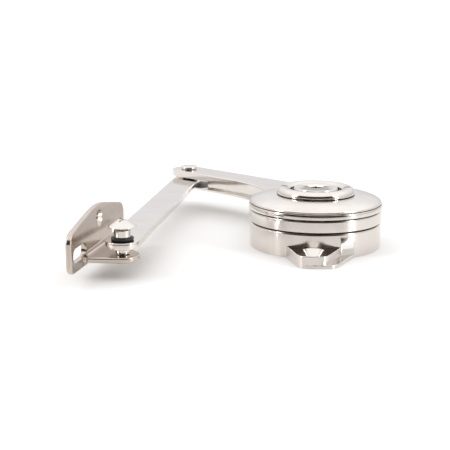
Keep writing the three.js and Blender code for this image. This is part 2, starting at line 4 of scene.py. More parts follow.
import bmesh
import bpy
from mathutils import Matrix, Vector


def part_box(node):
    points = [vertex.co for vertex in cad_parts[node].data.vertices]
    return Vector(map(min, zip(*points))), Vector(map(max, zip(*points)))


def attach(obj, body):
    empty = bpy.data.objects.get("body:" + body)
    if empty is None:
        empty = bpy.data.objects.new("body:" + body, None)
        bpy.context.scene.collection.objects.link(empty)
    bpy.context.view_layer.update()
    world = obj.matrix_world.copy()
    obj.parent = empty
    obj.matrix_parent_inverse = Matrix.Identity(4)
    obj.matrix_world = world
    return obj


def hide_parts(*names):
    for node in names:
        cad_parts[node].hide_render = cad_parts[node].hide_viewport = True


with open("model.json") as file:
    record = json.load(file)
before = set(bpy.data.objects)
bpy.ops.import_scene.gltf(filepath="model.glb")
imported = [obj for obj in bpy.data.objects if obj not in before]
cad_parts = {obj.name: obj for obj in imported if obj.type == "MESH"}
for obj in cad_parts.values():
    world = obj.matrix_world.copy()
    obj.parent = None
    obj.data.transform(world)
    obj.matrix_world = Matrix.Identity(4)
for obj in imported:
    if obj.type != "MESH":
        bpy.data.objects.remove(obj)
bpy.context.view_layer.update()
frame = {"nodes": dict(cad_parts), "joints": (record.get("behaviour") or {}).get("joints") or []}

# ---------------------------------------------------------------- camera, floor and light
# A long lens looks a little down at the closer from the side of its front screw lug. The
# floor is a plain white sheet inside a light tent, open and dark on the camera's side,
# with a tall soft box on each side of that opening.

mm = 0.001

camera_data = bpy.data.cameras.new("camera")
camera_data.lens = 80
camera_data.sensor_width = 36
camera_data.clip_start = 0.01
camera_data.clip_end = 200
camera = bpy.data.objects.new("camera", camera_data)
bpy.context.scene.collection.objects.link(camera)
camera.location = (5.71 * mm, -449.5 * mm, 111.0 * mm)
camera.rotation_euler = (math.radians(90 - 12.886), 0, math.radians(6))
bpy.context.scene.camera = camera
bpy.context.scene.view_settings.view_transform = "Standard"


class Signal:
    """A node's output. Sums and products of signals add Math nodes to its graph."""

    def __init__(self, graph, socket):
        self.graph = graph
        self.socket = socket

    def math(self, operation, *values):
        return self.graph.node("Math", {"operation": operation}, dict(enumerate(values)))

    def __add__(self, other):
        return self.math("ADD", self, other)

    def __sub__(self, other):
        return self.math("SUBTRACT", self, other)

    def __rsub__(self, other):
        return self.math("SUBTRACT", other, self)

    def __mul__(self, other):
        return self.math("MULTIPLY", self, other)

    def __pow__(self, other):
        return self.math("POWER", self, other)

    __radd__ = __add__
    __rmul__ = __mul__

    def between(self, low, high):
        """0 below low, 1 above high and a smooth rise from one to the other."""
        return self.graph.node(
            "MapRange",
            {"interpolation_type": "SMOOTHSTEP"},
            {"Value": self, "From Min": low, "From Max": high},
        )


class Graph:
    """The nodes of one material, or of the world."""

    def __init__(self, owner):
        self.owner = owner
        owner.use_nodes = True
        self.tree = owner.node_tree
        self.tree.nodes.clear()

    def node(self, kind, settings=None, inputs=None, output=0):
        """Adds a node, sets its settings and then its sockets, and gives back an output."""
        made = self.tree.nodes.new("ShaderNode" + kind)
        for name, value in (settings or {}).items():
            if name == "stops":
                set_stops(made.color_ramp, value)
            else:
                setattr(made, name, value)
        for name, value in (inputs or {}).items():
            if isinstance(value, Signal):
                self.tree.links.new(value.socket, made.inputs[name])
            else:
                made.inputs[name].default_value = value
        return Signal(self, made.outputs[output]) if made.outputs else None

    def mix(self, share, first, second):
        """A colour between two, by share."""
        return self.node(
            "Mix", {"data_type": "RGBA"}, {"Factor": share, "A": first, "B": second}, "Result"
        )


def set_stops(ramp, stops):
    """Gives a colour ramp its stops, each a place and a colour."""
    while len(ramp.elements) < len(stops):
        ramp.elements.new(0.5)
    for element, (place, colour) in zip(ramp.elements, stops):
        element.position = place
        element.color = (*colour, 1)


TENT_FOOT = (0.66, 0.65, 0.66)
TENT_LOW = (0.93, 0.94, 0.97)
TENT_HIGH = (1.3, 1.3, 1.32)
OPENING_DARK = (0.055, 0.042, 0.036, 1)
OPENING_WARM = (0.16, 0.085, 0.04, 1)
BEYOND_WHITE = (0.94, 0.94, 0.96, 1)
OPENING_HALF = math.radians(56)
OPENING_TOP = math.sin(math.radians(40))


def light_tent():
    """A white tent all round, with a dark opening on the camera's side."""
    sky = Graph(bpy.data.worlds.new("light_tent"))
    direction = sky.node("TexCoord", output="Generated")
    flat = sky.node("VectorMath", {"operation": "MULTIPLY"}, {0: direction, 1: (1, 1, 0)})
    unit = sky.node("VectorMath", {"operation": "NORMALIZE"}, {0: flat})
    facing = sky.node("VectorMath", {"operation": "DOT_PRODUCT"}, {0: unit, 1: (0, -1, 0)}, "Value")
    height = sky.node("SeparateXYZ", {}, {0: direction}, "Z")
    edge = math.cos(OPENING_HALF)
    across = facing.between(edge - 0.06, edge + 0.06)
    below_top = 1 - height.between(OPENING_TOP - 0.1, OPENING_TOP + 0.1)
    wall = sky.node("ValToRGB", {"stops": [(0.02, TENT_FOOT), (0.22, TENT_LOW), (0.7, TENT_HIGH)]}, {0: height})
    room = sky.mix(height.between(0.0, 0.1), OPENING_WARM, OPENING_DARK)
    tent = sky.mix(across * below_top, wall, room)
    seen = sky.node("LightPath", output="Is Camera Ray")
    shown = sky.mix(seen, tent, BEYOND_WHITE)
    scattered = sky.node("LightPath", output="Is Diffuse Ray")
    strength = 1 + 0.22 * scattered
    light = sky.node("Background", {}, {"Color": shown, "Strength": strength})
    sky.node("OutputWorld", {}, {"Surface": light})
    bpy.context.scene.world = sky.owner


light_tent()

SOFT_BOX_DISTANCE = 900 * mm
for side in (-1, 1):
    box_data = bpy.data.lights.new("soft_box", "AREA")
    box_data.shape = "RECTANGLE"
    box_data.size = 75 * mm
    box_data.size_y = 700 * mm
    box_data.energy = 1.8
    soft_box = bpy.data.objects.new("soft_box", box_data)
    bpy.context.scene.collection.objects.link(soft_box)
    turn = math.radians(66) * side
    place = Vector((math.sin(turn), -math.cos(turn), 0.42)) * SOFT_BOX_DISTANCE
    soft_box.location = place
    soft_box.rotation_euler = (-place).to_track_quat("-Z", "Y").to_euler()


def floor_finish():
    """White card: matt to the eye, with a satin sheen in what the metal mirrors of it."""
    card = Graph(bpy.data.materials.new("white_card"))
    where = card.node("TexCoord", output="Object")
    tone = card.node("TexNoise", {}, {"Vector": where, "Scale": 6, "Detail": 2})
    colour = card.node(
        "ValToRGB", {"stops": [(0.3, (0.83, 0.82, 0.8)), (0.7, (0.85, 0.84, 0.82))]}, {0: tone}
    )
    seen = card.node("LightPath", output="Is Camera Ray")
    shader = card.node("BsdfPrincipled", {}, {"Base Color": colour, "Roughness": 0.3 + 0.6 * seen})
    card.node("OutputMaterial", {}, {"Surface": shader})
    return card.owner


bpy.ops.object.select_all(action="DESELECT")
bpy.ops.mesh.primitive_plane_add(size=120)
floor = bpy.context.object
floor.name = "floor"
floor.data.materials.append(floor_finish())

# ---------------------------------------------------------------- base housing
# The drum's lower shell, die cast, turned on its outside and nickel plated. It holds the
# damper and the closing spring, and two screw lugs hold it to the door.

drum_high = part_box("base_housing")[1]
DRUM_RADIUS = drum_high.x
BASE_TOP = drum_high.z
LUG_HEIGHT = 5.2 * mm
LUG_REACH = drum_high.y - 0.6 * mm
CAVITY_RADIUS = 26.6 * mm
SCREW_Y = -37.2
SCREW_TRAVEL = 3
COUNTERSINK_DEPTH = 3
TURNED_STEPS = 160


def draw_line(points):
    """Draws a line of edges through points, from one vertex extruded along."""
    bpy.ops.object.select_all(action="DESELECT")
    bpy.ops.mesh.primitive_plane_add(size=mm)
    bpy.ops.object.mode_set(mode="EDIT")
    bpy.ops.mesh.select_mode(type="VERT")
    bpy.ops.mesh.select_all(action="SELECT")
    bpy.ops.mesh.merge(type="CENTER")
    bpy.ops.transform.translate(value=points[0])
    for start, end in zip(points, points[1:]):
        step = Vector(end) - Vector(start)
        bpy.ops.mesh.extrude_region_move(TRANSFORM_OT_translate={"value": step})
    bpy.ops.mesh.select_all(action="SELECT")


def turned_over(radius, top, size):
    """Section points where an upright wall leans back in a steep bevel, then rolls into a flat top."""
    return [
        (radius, top - size), (radius - 0.34 * size, top - 0.14 * size), (radius - 0.44 * size, top - 0.04 * size),
        (radius - 0.6 * size, top),
    ]


def alone(piece):
    """Makes a piece the only one selected, and the active one."""
    bpy.ops.object.select_all(action="DESELECT")
    piece.select_set(True)
    bpy.context.view_layer.objects.active = piece


def close_up(piece_name):
    """Merges what touches, turns the faces outwards and leaves edit mode."""
    bpy.ops.mesh.select_all(action="SELECT")
    bpy.ops.mesh.remove_doubles(threshold=0.004 * mm)
    bpy.ops.mesh.normals_make_consistent(inside=False)
    bpy.ops.object.mode_set(mode="OBJECT")
    piece = bpy.context.object
    piece.name = piece_name
    return piece


def turned(name, section, at=(0, 0), steps=TURNED_STEPS):
    """Spins a half section, [radius, height] in millimetres, round an upright axis."""
    if section[0][0] > 0:
        section = [*section, section[0]]
    draw_line([(radius * mm, 0, height * mm) for radius, height in section])
    bpy.ops.mesh.spin(steps=steps, angle=math.tau, center=(0, 0, 0), axis=(0, 0, 1))
    bpy.ops.mesh.select_all(action="SELECT")
    bpy.ops.transform.translate(value=(at[0], at[1], 0))
    return close_up(name)


def drawn_plate(name, corners, bottom, top):
    """A flat plate in plan: corners are (x, y, setback of the rounding), in millimetres."""
    draw_line([(x * mm, y * mm, bottom * mm) for x, y, _ in corners])
    bpy.ops.mesh.edge_face_add()
    bpy.ops.mesh.extrude_region_move(TRANSFORM_OT_translate={"value": (0, 0, (top - bottom) * mm)})
    for x, y, setback in corners:
        if setback > 0:
            corner = Vector((x * mm, y * mm))
            pick("EDGE", lambda middle, along: abs(along.z) > 0.9 and (middle.xy - corner).length < 0.01 * mm)
            segments = max(4, round(3 * setback ** 0.5))
            bpy.ops.mesh.bevel(offset=setback * mm, segments=segments, affect="EDGES", clamp_overlap=False)
    return close_up(name)


def pick(kind, test):
    """Selects the edges or faces that pass a test on their middle and direction."""
    bpy.ops.mesh.select_mode(type=kind)
    bpy.ops.mesh.select_all(action="DESELECT")
    mesh = bmesh.from_edit_mesh(bpy.context.object.data)
    if kind == "EDGE":
        for edge in mesh.edges:
            start, end = (v.co for v in edge.verts)
            edge.select_set(bool(test((start + end) / 2, (end - start).normalized())))
    else:
        for face in mesh.faces:
            face.select_set(bool(test(face.calc_center_median(), face.normal)))
    bmesh.update_edit_mesh(bpy.context.object.data)


def rolled(piece, size, segments, test):
    """Rounds the edges that pass a test."""
    alone(piece)
    bpy.ops.object.mode_set(mode="EDIT")
    pick("EDGE", test)
    bpy.ops.mesh.bevel(offset=size * mm, segments=segments, affect="EDGES", clamp_overlap=True)
    return close_up(piece.name)


def combine(piece, other, operation):
    """Joins another solid to a piece, or cuts it out, and removes the other."""
    alone(piece)
    step = piece.modifiers.new("combine", "BOOLEAN")
    step.operation = operation
    step.solver = "EXACT"
    step.object = other
    bpy.ops.object.modifier_apply(modifier=step.name)
    bpy.data.objects.remove(other)
    return piece


def put(piece, turn=(0, 0, 0), place=(0, 0, 0)):
    """Turns and moves a piece, and leaves that in its mesh."""
    alone(piece)
    piece.rotation_euler = turn
    piece.location = place
    bpy.ops.object.transform_apply(location=True, rotation=True, scale=True)
    return piece


def eased(piece, width, segments=3, sharper_than=28):
    """Rounds a piece's edges and keeps its flats flat."""
    alone(piece)
    edge = piece.modifiers.new("edge", "BEVEL")
    edge.width = width * mm
    edge.segments = segments
    edge.limit_method = "ANGLE"
    edge.angle_limit = math.radians(sharper_than)
    edge.use_clamp_overlap = True
    bpy.ops.object.modifier_apply(modifier=edge.name)
    return smoothed(piece)


def smoothed(piece, angle=32):
    """Smooth shading that follows the larger faces."""
    alone(piece)
    bpy.ops.object.shade_smooth_by_angle(angle=math.radians(angle))
    flats = piece.modifiers.new("flats", "WEIGHTED_NORMAL")
    flats.keep_sharp = True
    flats.weight = 80
    bpy.ops.object.modifier_apply(modifier=flats.name)
    return piece


def finish_piece(piece, material, body, slot, *nodes):
    """Gives a piece its material and its place in the frame."""
    piece.data.materials.clear()
    piece.data.materials.append(material)
    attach(piece, body)
    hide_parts(*nodes)


NICKEL = (0.76, 0.715, 0.67)
NICKEL_DULL = (0.71, 0.66, 0.61)
# A dark brown for shade painted into recesses of the nickel.
PAINTED_SHADE_DARK = (0.05, 0.035, 0.028, 1)


def nickel(name, lay, roughness, scratches=0.5, tint=(1, 1, 1), shade_mask=None):
    """Nickel plate. The lay gives the fine relief of the metal under it, and an optional mask paints shade into it:
    dark brown, rougher and not metallic.
    """
    dull, bright = ([a * b for a, b in zip(tone, tint)] for tone in (NICKEL_DULL, NICKEL))
    metal = Graph(bpy.data.materials.new(name))
    where = metal.node("TexCoord", output="Object")
    cloud = metal.node("TexNoise", {}, {"Vector": where, "Scale": 90, "Detail": 3, "Roughness": 0.6})
    colour = metal.node("ValToRGB", {"stops": [(0.3, dull), (0.65, bright)]}, {0: cloud})
    shine = 1.0
    if shade_mask:
        # Painted shade: where the mask is set, the colour goes dark brown and the metal turns rough and dull.
        shade_share = shade_mask(metal, where)
        colour = metal.mix(shade_share, colour, PAINTED_SHADE_DARK)
        shine = 1 - shade_share
    smear = metal.node("TexNoise", {}, {"Vector": where, "Scale": 240, "Detail": 4, "Roughness": 0.7})
    rough = roughness + 0.05 * smear.between(0.35, 0.75)
    relief = lay(metal, where) + scratches * hairlines(metal, where)
    bump = metal.node("Bump", {}, {"Strength": 1.0, "Distance": 0.001 * mm, "Height": relief})
    shader = metal.node(
        "BsdfPrincipled",
        {},
        {"Base Color": colour, "Metallic": shine, "Roughness": rough + 0.35 * (1 - shine), "Normal": bump},
    )
    metal.node("OutputMaterial", {}, {"Surface": shader})
    return metal.owner


def hairlines(metal, where):
    """Sparse straight scratches from handling, as a height of 0 to -1."""
    turned_place = metal.node(
        "Mapping", {}, {"Vector": where, "Rotation": (0.2, 0.4, 0.7), "Scale": (40, 1400, 700)}
    )
    lines = metal.node("TexNoise", {}, {"Vector": turned_place, "Scale": 1, "Detail": 1})
    return lines.between(0.69, 0.74) * -1.5


def turned_lay(metal, where):
    """Fine rings left by the lathe, round the drum's axis."""
    flat = metal.node("VectorMath", {"operation": "MULTIPLY"}, {0: where, 1: (1, 1, 0)})
    radius = metal.node("VectorMath", {"operation": "LENGTH"}, {0: flat}, "Value")
    height = metal.node("SeparateXYZ", {}, {0: where}, "Z")
    along = radius * 9000 + height * 14000
    rings = metal.node("TexNoise", {"noise_dimensions": "1D"}, {"W": along, "Scale": 1, "Detail": 3})
    return rings * 5


turned_nickel = nickel("turned_nickel", turned_lay, 0.13)


def lug(name):
    """A screw lug along -Y, with its low locating shelf on the +X side."""
    root = -24.5
    reach = -LUG_REACH / mm
    upper = drawn_plate(name, [
        (-12, root, 0), (12, root, 0), (12, -28, 1.2), (5.6, reach, 3), (-5.6, reach, 3), (-12, -28, 1.2),
    ], 0, LUG_HEIGHT / mm)
    rolled(upper, 0.45, 4, lambda middle, along: middle.z > LUG_HEIGHT - 0.01 * mm and abs(along.z) < 0.1)
    shelf = drawn_plate("shelf", [
        (-12, root, 0), (18.4, root + 2, 0), (9.6, reach + 0.4, 3.5), (-5, reach - 0.55, 4), (-12.2, -27.5, 1),
    ], 0, 1.5)
    rolled(shelf, 0.3, 3, lambda middle, along: middle.z > 1.49 * mm and abs(along.z) < 0.1)
    return combine(upper, shelf, "UNION")


def cut_screw_slot(one_lug):
    """Cuts the countersunk slot: a flared round hole at each end and a flared trough between."""
    half = 2.6
    mouth = half + COUNTERSINK_DEPTH + 0.2
    neck = LUG_HEIGHT / mm - COUNTERSINK_DEPTH
    rim = LUG_HEIGHT / mm + 0.2
    flare = [(half, -1), (half, neck), (mouth, rim), (mouth, rim + 1)]
    for y in (SCREW_Y - SCREW_TRAVEL / 2, SCREW_Y + SCREW_TRAVEL / 2):
        combine(one_lug, turned("hole", [(0, -1), *flare, (0, rim + 1)], (0, y * mm), 64), "DIFFERENCE")
    sides = [*flare, *[(-x, z) for x, z in reversed(flare)]]
    trough = drawn_plate("trough", [(x, z, 0) for x, z in sides], 0, SCREW_TRAVEL)
    put(trough, (math.pi / 2, 0, 0), (0, (SCREW_Y + SCREW_TRAVEL / 2) * mm, 0))
    return combine(one_lug, trough, "DIFFERENCE")


def base_housing():
    radius = DRUM_RADIUS / mm
    top = BASE_TOP / mm
    seat = CAVITY_RADIUS / mm + 1.6
    drum = turned("housing_shell", [
        (0, 0), (radius, 0), *turned_over(radius, top, 0.8), (seat, top), (seat, top - 0.8),
        (CAVITY_RADIUS / mm, top - 0.8),
        (CAVITY_RADIUS / mm, 2.2), (0, 2.2),
    ])
    eased(drum, 0.28)
    for turn in (0, math.pi):
        one_lug = cut_screw_slot(lug("lug"))
        put(one_lug, (0, 0, turn))
        combine(drum, one_lug, "UNION")
    return smoothed(drum)


finish_piece(base_housing(), turned_nickel, "housing", "polished_nickel", "base_housing")

# ---------------------------------------------------------------- lower arm
# A pressed steel dish that is the drum's middle band, drawn out into the fork's thin
# bottom plate, with a stiffening web along each side that stops short of the elbow.

elbow = Vector(next(j for j in frame["joints"] if j["name"] == "elbow_fold")["pos_m"])
ARM_OFFSET = 21.9
ARM_HALF = 8.0
TIP_OVERHANG = 1.2
NEAR_WEB_GAP = 19.5
FAR_WEB_GAP = 12
ARM_AZIMUTH = math.atan2(elbow.y, elbow.x) + math.asin(ARM_OFFSET * mm / elbow.xy.length)
ARM_REACH = math.sqrt(elbow.xy.length_squared - (ARM_OFFSET * mm) ** 2) / mm
arm_low, arm_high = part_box("lower_arm")
BAND_RADIUS = DRUM_RADIUS / mm + 0.2
BAND_TOP = 16.75
BAND_BOTTOM = 11.8
FORK_BOTTOM = arm_low.z / mm


def arm_plate(name, half, bottom, top, flare=22):
    """The arm's plan along +X: a straight bar with a round tip, flared into the drum."""
    near = half - ARM_OFFSET
    far = -half - ARM_OFFSET
    tip = ARM_REACH + TIP_OVERHANG + half
    return drawn_plate(name, [
        (0, far, 0), (tip, far, half), (tip, near, half), (44, near, flare),
        (27.6, near + 15, 0), (0, near + 15, 0),
    ], bottom, top)


def lower_arm():
    band = turned("arm_band", [
        (4.5, BAND_BOTTOM), (BAND_RADIUS, BAND_BOTTOM), *turned_over(BAND_RADIUS, BAND_TOP, 0.7),
        (BAND_RADIUS - 2.6, BAND_TOP),
        (BAND_RADIUS - 2.6, BAND_BOTTOM + 1.6), (4.5, BAND_BOTTOM + 1.6),
    ])
    eased(band, 0.3)
    plate = arm_plate("fork_plate", ARM_HALF, FORK_BOTTOM, FORK_BOTTOM + 1.05)
    web_outer = -ARM_OFFSET + ARM_HALF - 3
    web_inner = web_outer - 2
    web_end = ARM_REACH - NEAR_WEB_GAP
    near_web = drawn_plate("web", [
        (web_end, web_inner, 0), (web_end, web_outer, 0), (44, web_outer, 22), (27.6, web_outer + 15, 0),
        (26, web_outer + 13, 0), (42, web_inner, 20),
    ], FORK_BOTTOM + 0.5, 16)
    web_outer = -ARM_OFFSET - ARM_HALF + 3
    far_end = ARM_REACH - FAR_WEB_GAP
    far_web = drawn_plate("web", [
        (0, web_outer, 0), (far_end, web_outer, 0), (far_end, web_outer + 2, 0), (0, web_outer + 2, 0),
    ], FORK_BOTTOM + 0.5, 16)
    fork = combine(combine(plate, near_web, "UNION"), far_web, "UNION")
    hole = turned("hole", [(0, 5), (2.5, 5), (2.5, 20), (0, 20)], (ARM_REACH * mm, -ARM_OFFSET * mm), 48)
    combine(fork, hole, "DIFFERENCE")
    put(fork, (0, 0, ARM_AZIMUTH))
    clear = turned("clear", [(0, 0), (30.7, 0), (30.7, BAND_BOTTOM), (28.9, BAND_BOTTOM), (28.9, 40), (0, 40)])
    combine(fork, clear, "DIFFERENCE")
    eased(fork, 0.18, 2)
    combine(band, fork, "UNION")
    return smoothed(band)


def fork_painted_shade(metal, where):
    """Painted shade inside the fork, round the elbow: a dark, streaky patch above the bottom plate."""
    reach = metal.node("VectorMath", {"operation": "DISTANCE"}, {0: where, 1: (elbow.x, elbow.y, 0.014)}, "Value")
    height = metal.node("SeparateXYZ", {}, {0: where}, "Z")
    streaks = metal.node("TexNoise", {}, {"Vector": where, "Scale": 300, "Detail": 2})
    near = 1 - reach.between(17.5 * mm, 19 * mm)
    above = height.between((FORK_BOTTOM + 0.95) * mm, (FORK_BOTTOM + 1.05) * mm)
    return near * above * (0.75 + 0.25 * streaks)


# The lower arm's nickel, with shade painted dark inside the fork round the elbow.
fork_shaded_nickel = nickel("fork_shaded_nickel", turned_lay, 0.13, shade_mask=fork_painted_shade)
finish_piece(lower_arm(), fork_shaded_nickel, "arm", "polished_nickel", "lower_arm")

# ---------------------------------------------------------------- upper arm
# A flat steel ring with the fork's top plate drawn out of it, pressed with rolled edges
# and polished. It is riveted to the lower arm under the cover.


def polished_lay(metal, where):
    """The faint waviness and the even grain of a polished pressing."""
    wave = metal.node("TexNoise", {}, {"Vector": where, "Scale": 260, "Detail": 2})
    grain = metal.node("TexNoise", {}, {"Vector": where, "Scale": 5200, "Detail": 2})
    return wave * 6 + grain * 0.35


polished_nickel = nickel("polished_nickel", polished_lay, 0.1)
UPPER_BOTTOM = 17.4
UPPER_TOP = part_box("upper_arm")[1].z / mm
FORK_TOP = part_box("upper_arm")[0].z / mm
FLANGE_RADIUS = DRUM_RADIUS / mm + 0.6


def upper_arm():
    flange = turned("arm_flange", [
        (4.5, UPPER_BOTTOM), (FLANGE_RADIUS, UPPER_BOTTOM), *turned_over(FLANGE_RADIUS, UPPER_TOP, 0.8),
        (4.5, UPPER_TOP),
    ])
    eased(flange, 0.3)
    fork = arm_plate("fork", ARM_HALF, FORK_TOP, UPPER_TOP)
    rolled(fork, 2.3, 8, lambda middle, along: middle.z > (UPPER_TOP - 0.01) * mm and middle.x > 0.1 * mm)
    hole = turned("hole", [(0, 5), (2.5, 5), (2.5, 30), (0, 30)], (ARM_REACH * mm, -ARM_OFFSET * mm), 48)
    combine(fork, hole, "DIFFERENCE")
    put(fork, (0, 0, ARM_AZIMUTH))
    clear = turned("clear", [(0, 0), (30.4, 0), (30.4, UPPER_BOTTOM), (28.9, UPPER_BOTTOM), (28.9, 40), (0, 40)])
    combine(fork, clear, "DIFFERENCE")
    combine(flange, fork, "UNION")
    return smoothed(flange)


finish_piece(upper_arm(), polished_nickel, "arm", "polished_nickel", "upper_arm")

# ---------------------------------------------------------------- drum cover
# A turned, domed cap over the riveted arm. Its skirt stands a hair above the flange, and
# the retaining ring screws down on its flat middle.

cover_low, cover_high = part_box("drum_cover")
COVER_BOTTOM = cover_low.z / mm
COVER_RADIUS = cover_high.x / mm


def drum_cover():
    seat = 17.9
    seat_top = COVER_BOTTOM + 3.6
    dome = []
    for i in range(25):
        angle = math.pi / 2 * i / 24
        radius = COVER_RADIUS - (COVER_RADIUS - seat) * (1 - math.cos(angle)) ** 0.9
        dome.append((radius, COVER_BOTTOM + 0.35 + 3.25 * math.sin(angle) ** 1.05))
    inside = [(radius - 1.3, height - 1.5) for radius, height in reversed(dome) if height > COVER_BOTTOM + 1.7]
    cap = turned("cover_cap", [
        (COVER_RADIUS - 1.6, COVER_BOTTOM), (COVER_RADIUS, COVER_BOTTOM), *dome,
        (12.6, seat_top), (12.6, COVER_BOTTOM + 2.2), (9, COVER_BOTTOM + 2.2), (9, COVER_BOTTOM + 1.2),
        *inside,
    ])
    return eased(cap, 0.12, 3, 40)


finish_piece(drum_cover(), turned_nickel, "arm", "polished_nickel", "drum_cover")

# ---------------------------------------------------------------- retaining ring
# A rounded ring nut that holds the cover down. Two notches in its crest take a pin
# spanner.

ring_low, ring_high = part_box("retaining_ring")


def retaining_ring():
    bottom = ring_low.z / mm
    crest = ring_high.z / mm
    outer = ring_high.x / mm
    crown = []
    for i in range(1, 10):
        angle = math.pi / 2 * i / 9
        rise = (crest - bottom - 0.6) * math.sin(angle)
        crown.append((15 + 2.7 * math.cos(angle), bottom + 0.6 + rise))
    ring = turned("ring_nut", [
        (11.7, bottom), (outer, bottom), (outer, bottom + 0.6), *crown, (13.2, crest - 0.15), (12.3, crest - 0.7),
        (11.7, crest - 1.3),
    ])
    for side in (-1, 1):
        notch = drawn_plate("notch", [
            (side * 12.9, -0.8, 0), (side * 15.5, -0.8, 0), (side * 15.5, 0.8, 0), (side * 12.9, 0.8, 0),
        ], crest - 0.9, crest + 1)
        combine(ring, notch, "DIFFERENCE")
    return eased(ring, 0.1, 2, 35)


finish_piece(retaining_ring(), polished_nickel, "arm", "polished_nickel", "retaining_ring")

# ---------------------------------------------------------------- tension adjuster
# A turned disc inside the ring nut, level with its crest. A hexagon key in its socket
# winds the closing spring.

ADJUSTER_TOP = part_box("tension_adjuster")[1].z


def tension_adjuster():
    low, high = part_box("tension_adjuster")
    top = ADJUSTER_TOP / mm
    disc = turned("adjuster_disc", [
        (0, low.z / mm), (3.6, low.z / mm), (3.6, COVER_BOTTOM + 2.5), (high.x / mm, COVER_BOTTOM + 2.5),
        *turned_over(high.x / mm, top, 1.0), (0, top),
    ])
    eased(disc, 0.1, 2)
    socket = drawn_plate("socket", [
        (2.9 * math.sin(math.tau * i / 6), 2.9 * math.cos(math.tau * i / 6), 0) for i in range(6)
    ], top - 3.2, top + 1)
    combine(disc, socket, "DIFFERENCE")
    return smoothed(disc)


def socket_painted_shade(metal, where):
    """Painted shade down in the hexagon socket, below a thin band at its rim."""
    flat = metal.node("VectorMath", {"operation": "MULTIPLY"}, {0: where, 1: (1, 1, 0)})
    radius = metal.node("VectorMath", {"operation": "LENGTH"}, {0: flat}, "Value")
    height = metal.node("SeparateXYZ", {}, {0: where}, "Z")
    inside = 1 - radius.between(2.95 * mm, 3.05 * mm)
    below = 1 - height.between(ADJUSTER_TOP - 0.35 * mm, ADJUSTER_TOP - 0.1 * mm)
    return inside * below * 0.9


# The adjuster's nickel, with shade painted dark inside its hexagon socket.
adjuster_nickel = nickel("adjuster_nickel", turned_lay, 0.13, shade_mask=socket_painted_shade)
finish_piece(tension_adjuster(), adjuster_nickel, "adjuster", "polished_nickel", "tension_adjuster")

# ---------------------------------------------------------------- elbow rivet
# A shouldered rivet through the fork and the link, with a low domed head that is polished
# with the rest.


def elbow_rivet():
    low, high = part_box("elbow_rivet")
    foot = low.z / mm
    top = high.z / mm
    rivet = turned("elbow_pin", [
        (0, foot), (2.9, foot), (3.2, foot + 0.4), (3.2, foot + 0.9), (2.2, foot + 0.9), (2.2, top - 1.4),
        (4.4, top - 1.4), (4.4, top - 0.75), (4.25, top - 0.4), (3.9, top - 0.15), (3.3, top - 0.03), (0, top),
    ], elbow.xy, 72)
    return eased(rivet, 0.1, 2)


finish_piece(elbow_rivet(), polished_nickel, "arm", "polished_nickel", "elbow_rivet")

# ---------------------------------------------------------------- link bar
# A flat steel bar blanked out of sheet, barrelled and plated. Its rim keeps the torn band
# that the punch leaves.

pivot = Vector(next(j for j in frame["joints"] if j["name"] == "bracket_swivel")["pos_m"])
link_low, link_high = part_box("link_bar")


def link_bar():
    length = (pivot - elbow).xy.length / mm
    half = 7.0
    bar = drawn_plate("link_strip", [
        (-half, -half, half), (length + half, -half, half), (length + half, half, half), (-half, half, half),
    ], link_low.z / mm, link_high.z / mm)
    for x, radius in ((0, 3.6), (length, 2.5)):
        hole = turned("hole", [(0, 5), (radius, 5), (radius, 25), (0, 25)], (x * mm, 0), 48)
        combine(bar, hole, "DIFFERENCE")
    eased(bar, 0.28, 3)
    run = (pivot - elbow).xy
    return put(bar, (0, 0, math.atan2(run.y, run.x)), (elbow.x, elbow.y, 0))


def blanked_lay(metal, where):
    """Polished flats, with the ragged band that the punch tears round the middle of the rim."""
    height = metal.node("SeparateXYZ", {}, {0: where}, "Z")
    low_rim = height.between(link_low.z + 0.5 * mm, link_low.z + 0.9 * mm)
    high_rim = 1 - height.between(link_high.z - 0.9 * mm, link_high.z - 0.5 * mm)
    torn = metal.node("TexNoise", {}, {"Vector": where, "Scale": 1300, "Detail": 4, "Roughness": 0.7})
    return polished_lay(metal, where) + torn * low_rim * high_rim * 120


blanked_nickel = nickel("blanked_nickel", blanked_lay, 0.1)
finish_piece(link_bar(), blanked_nickel, "link", "polished_nickel", "link_bar")

# ---------------------------------------------------------------- wall bracket
# An L-shaped pressing: an upright plate with a peaked top edge, two slots and a
# countersunk hole, and a tongue bent out of its foot to hold the stud.

BRACKET_TURN = math.radians(-5.9)
bracket_low, bracket_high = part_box("mounting_bracket")
PLATE_FOOT = bracket_low.z / mm
TONGUE_FOOT = 7.4
PLATE_FACE = -13.5
SHEET = 2.4
PLATE_MIDDLE = 11.2
UP = (math.pi / 2, 0, math.pi / 2)


def upright_shape(name, corners, depth, back):
    """A plate drawn as along and up, then stood up facing +X with its back at x = back."""
    return put(drawn_plate(name, corners, 0, depth), UP, (back * mm, 0, 0))


def rim(middle, along):
    return abs(along.z) < 0.1


def across_plate(middle, along):
    return abs(along.x) < 0.1


def rounded_slot(middle, height, length, width):
    half_length, half_width = length / 2, width / 2
    corners = [
        (middle + x * half_length, height + z * half_width, half_width)
        for x, z in ((-1, -1), (1, -1), (1, 1), (-1, 1))
    ]
    return upright_shape("slot", corners, 8, PLATE_FACE - SHEET - 3)


